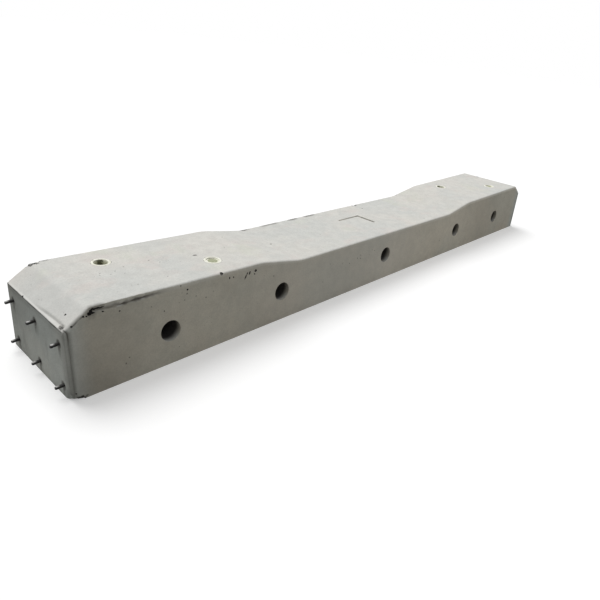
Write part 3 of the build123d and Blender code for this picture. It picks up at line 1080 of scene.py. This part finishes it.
def make_cap(name, place, seed):
    """Dust cap: a dished disc with a raised ring, an uneven edge and a skirt down the bore."""
    r = BORE_RADIUS
    profile = [(0, -0.0026), (0.0030, -0.0026), (0.0100, -0.0024), (0.0118, -0.0022), (0.0124, -0.0019),
               (0.0136, -0.0019), (0.0142, -0.0022), (r - 0.0001, -0.0020), (r, -0.0030), (r, -0.0125),
               (r - 0.002, -0.0128), (r - 0.002, -0.0052), (0, -0.0050)][::-1]

    def wobble(a, radius, height):
        around = Vector((math.cos(a) * 2.0, math.sin(a) * 2.0, seed * 2.3 + radius * 90))
        return radius, height + (0.00045 * noise.noise(around) if radius > 0.012 and height > -0.003 else 0)

    vertices, faces = lathe(profile, 48, place, wobble)
    piece = new_piece(f"{name}_detail", vertices, faces, [CAP_PLASTIC, DOWEL_PLASTIC], sharp_angle=50)
    turn_back = place.inverted()
    for polygon in piece.data.polygons:
        centre = turn_back @ polygon.center
        polygon.material_index = int(math.hypot(centre.x, centre.y) > CAP_DISC_RADIUS)
    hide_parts(name)
    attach(piece, "root")


def make_wire(name, y, z, seed):
    """One wire: straight inside the concrete, its stubs slightly bent with a rough, cut end."""
    steps, stub = 18, WIRE_REACH - HALF_LENGTH
    outward = [stub * t for t in (-0.5, 0.0, 0.15, 0.3, 0.45, 0.6, 0.72, 0.82, 0.9, 0.95, 0.985, 1.0)]
    places = [-(HALF_LENGTH + d) for d in reversed(outward)] + [HALF_LENGTH + d for d in outward]
    luck = random.Random(seed)
    bends = {side: (luck.uniform(-0.0006, 0.0006), luck.uniform(-0.0014, -0.0003)) for side in (-1, 1)}
    rings = []
    for x in places:
        side = 1 if x > 0 else -1
        out = (abs(x) - HALF_LENGTH) / stub
        bent = max(0, out) ** 2
        centre_y = y + bends[side][0] * bent
        centre_z = z + bends[side][1] * bent
        ring = []
        for k in range(steps):
            a = 2 * math.pi * k / steps
            lumps = noise.noise(Vector((x * 220, math.cos(a) * 1.4 + seed, math.sin(a) * 1.4)))
            radius = WIRE_RADIUS * (1 + (0.06 + 0.08 * lumps) * max(0, min(1, out * 4)))
            radius *= math.sqrt(max(0.2, 1 - (max(0, out - 0.82) / 0.18) ** 2.5))
            tip = side * 0.0012 * noise.noise(Vector((math.cos(a) * 0.8, math.sin(a) * 0.8, seed * 1.9)))
            shift = tip if out > 0.93 else 0
            reach = max(-WIRE_REACH, min(WIRE_REACH, x + shift))
            ring.append(Vector((reach, centre_y + radius * math.cos(a), centre_z + radius * math.sin(a))))
        rings.append(ring)
    vertices = [v for ring in rings for v in ring]
    faces = []
    for i in range(len(rings) - 1):
        a = i * steps
        faces += [(a + k, a + (k + 1) % steps, a + steps + (k + 1) % steps, a + steps + k) for k in range(steps)]
    a = (len(rings) - 1) * steps
    faces += [tuple(range(steps))[::-1], tuple(range(a, a + steps))]
    piece = new_piece(f"{name}_detail", vertices, faces, [WIRE_STEEL], sharp_angle=55)
    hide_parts(name)
    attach(piece, "root")


make_concrete()
for seed, (name, place) in enumerate(DOWELS.items()):
    make_dowel(name, place, name in ("left_outer", "right_inner"), seed)
make_cap("dust_cap_left", DOWELS["left_inner"], 1)
make_cap("dust_cap_right", DOWELS["right_outer"], 2)
for row, height in zip(("lower", "upper"), WIRE_ROWS):
    for column, across in zip(("front", "middle", "back"), WIRE_COLUMNS):
        make_wire(f"wire_{row}_{column}", across, height, len(row) * 7 + len(column) * 3 + int(height * 1000))


def emitter(tree, kind, **settings):
    node = tree.nodes.new(kind)
    for key, value in settings.items():
        node.inputs[key].default_value = value
    return node.outputs[0]


def seen_directly(tree):
    """1 for what the camera, a mirror or a glass shows, 0 for the light that falls on the object."""
    path = tree.nodes.new("ShaderNodeLightPath")
    seen = path.outputs["Is Camera Ray"]
    for ray in ("Is Glossy Ray", "Is Transmission Ray"):
        either = tree.nodes.new("ShaderNodeMath")
        either.operation = "MAXIMUM"
        tree.links.new(seen, either.inputs[0])
        tree.links.new(path.outputs[ray], either.inputs[1])
        seen = either.outputs[0]
    return seen


def make_floor():
    """Pale floor that keeps the shadow but throws little light back up."""
    data = bpy.data.meshes.new("floor")
    data.from_pydata([(-30, -30, 0), (30, -30, 0), (30, 30, 0), (-30, 30, 0)], [], [(0, 1, 2, 3)])
    floor = bpy.data.objects.new("floor", data)
    bpy.context.collection.objects.link(floor)
    material = bpy.data.materials.new("floor")
    material.use_nodes = True
    tree = material.node_tree
    tree.nodes.clear()
    pale = emitter(tree, "ShaderNodeBsdfDiffuse", Color=(0.8, 0.8, 0.8, 1))
    dull = emitter(tree, "ShaderNodeBsdfDiffuse", Color=(0.15, 0.15, 0.15, 1))
    glow = emitter(tree, "ShaderNodeEmission", Strength=0.32)
    both = tree.nodes.new("ShaderNodeAddShader")
    choice = tree.nodes.new("ShaderNodeMixShader")
    out = tree.nodes.new("ShaderNodeOutputMaterial")
    tree.links.new(pale, both.inputs[0])
    tree.links.new(glow, both.inputs[1])
    tree.links.new(seen_directly(tree), choice.inputs[0])
    tree.links.new(dull, choice.inputs[1])
    tree.links.new(both.outputs[0], choice.inputs[2])
    tree.links.new(choice.outputs[0], out.inputs[0])
    data.materials.append(material)


def make_world():
    """A world that looks white and gives an even, weaker light."""
    world = bpy.data.worlds.new("world")
    bpy.context.scene.world = world
    world.use_nodes = True
    tree = world.node_tree
    tree.nodes.clear()
    level = tree.nodes.new("ShaderNodeMapRange")
    level.inputs["To Min"].default_value = WORLD_LIGHT
    level.inputs["To Max"].default_value = 1.0
    tree.links.new(seen_directly(tree), level.inputs["Value"])
    sky = tree.nodes.new("ShaderNodeBackground")
    sky.inputs["Color"].default_value = (1, 1, 1, 1)
    tree.links.new(level.outputs[0], sky.inputs["Strength"])
    out = tree.nodes.new("ShaderNodeOutputWorld")
    tree.links.new(sky.outputs[0], out.inputs[0])


def make_lamp(name, kind, energy, place, target, **settings):
    data = bpy.data.lights.new(name, kind)
    data.energy = energy
    for key, value in settings.items():
        setattr(data, key, value)
    lamp = bpy.data.objects.new(name, data)
    bpy.context.collection.objects.link(lamp)
    lamp.location = place
    lamp.rotation_euler = (Vector(target) - Vector(place)).to_track_quat("-Z", "Y").to_euler()


def stage():
    """Floor, world, a soft sun from above and behind, and a weak lamp that lifts the far part of the front side."""
    make_floor()
    make_world()
    make_lamp("sun", "SUN", SUN_LIGHT, (0.0, 1.2, 2.1), (0, 0, 0), angle=math.radians(40))
    make_lamp("far_side", "AREA", FAR_LAMP, (0.9, -2.2, 0.6), (0.5, -0.13, 0.09), shape="DISK", size=1.2)
    bpy.context.scene.view_settings.view_transform = "Standard"


WORLD_LIGHT = 0.37
SUN_LIGHT = 2.0
FAR_LAMP = 5.5
stage()
bpy.context.view_layer.update()
